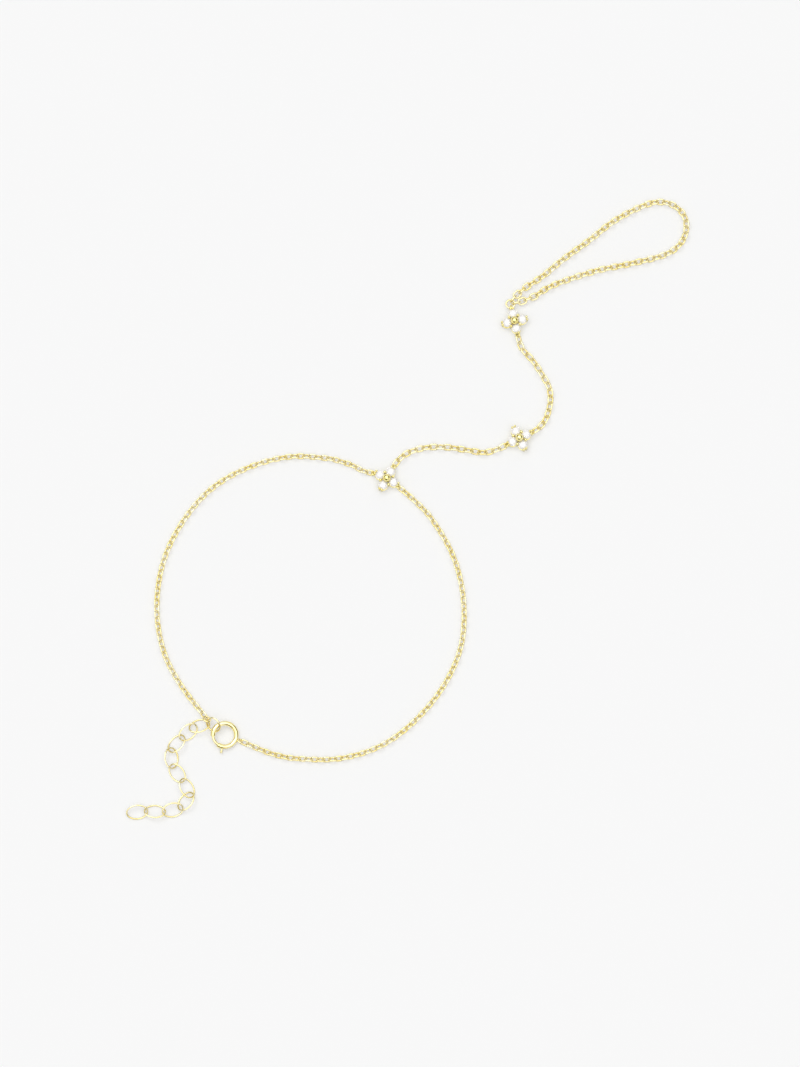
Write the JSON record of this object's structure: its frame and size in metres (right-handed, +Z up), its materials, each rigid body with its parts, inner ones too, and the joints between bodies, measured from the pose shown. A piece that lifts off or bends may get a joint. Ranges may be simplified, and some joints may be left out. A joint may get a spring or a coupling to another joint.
{
  "type": "hand chain bracelet",
  "caption": "Hand chain bracelet: a fine cable chain wrist loop with a spring ring clasp and extender, joined by flower settings of cut stones to a finger loop, lying flat.",
  "frame": {"origin": "middle of the wrist loop, on the surface that the bracelet lies on", "axes": "+Z up out of the surface, +Y from the wrist loop towards the finger loop, the long way of the laid-out bracelet, +X to its right"},
  "size_m": [0.1014, 0.1136, 0.0025],
  "materials": {
    "gold_plate": "polished pale gold plating",
    "clear_stone": "clear cut stone, polished facets"
  },
  "bodies": {
    "bracelet": {"wrist_chain_left": "gold_plate", "wrist_chain_right": "gold_plate", "hand_chain_lower": "gold_plate", "hand_chain_upper": "gold_plate", "finger_chain": "gold_plate", "setting_wrist": "gold_plate", "setting_middle": "gold_plate", "setting_knuckle": "gold_plate", "clasp_ring": "gold_plate", "clasp_link": "gold_plate", "end_ring": "gold_plate", "end_link": "gold_plate", "finger_ring": "gold_plate", "stone_wrist_1": "clear_stone", "stone_wrist_2": "clear_stone", "stone_wrist_3": "clear_stone", "stone_wrist_4": "clear_stone", "stone_middle_1": "clear_stone", "stone_middle_2": "clear_stone", "stone_middle_3": "clear_stone", "stone_middle_4": "clear_stone", "stone_knuckle_1": "clear_stone", "stone_knuckle_2": "clear_stone", "stone_knuckle_3": "clear_stone", "stone_knuckle_4": "clear_stone", "extender_link_1": "gold_plate", "extender_link_2": "gold_plate", "extender_link_3": "gold_plate", "extender_link_4": "gold_plate", "extender_link_5": "gold_plate", "extender_link_6": "gold_plate", "extender_link_7": "gold_plate", "extender_link_8": "gold_plate", "extender_link_9": "gold_plate", "extender_link_10": "gold_plate"},
    "bolt": {"clasp_bolt": "gold_plate"}
  },
  "joints": [
    {"name": "bolt_slide_round", "type": "hinge", "parent": "bracelet", "child": "bolt", "pos_m": [-0.01531, -0.02323, 0.00084], "axis": [0.1413, -0.1272, 0.9818], "range_deg": [0, 56], "stiffness_Nm_per_rad": 0.0005, "springref_deg": -11.46}
  ]
}
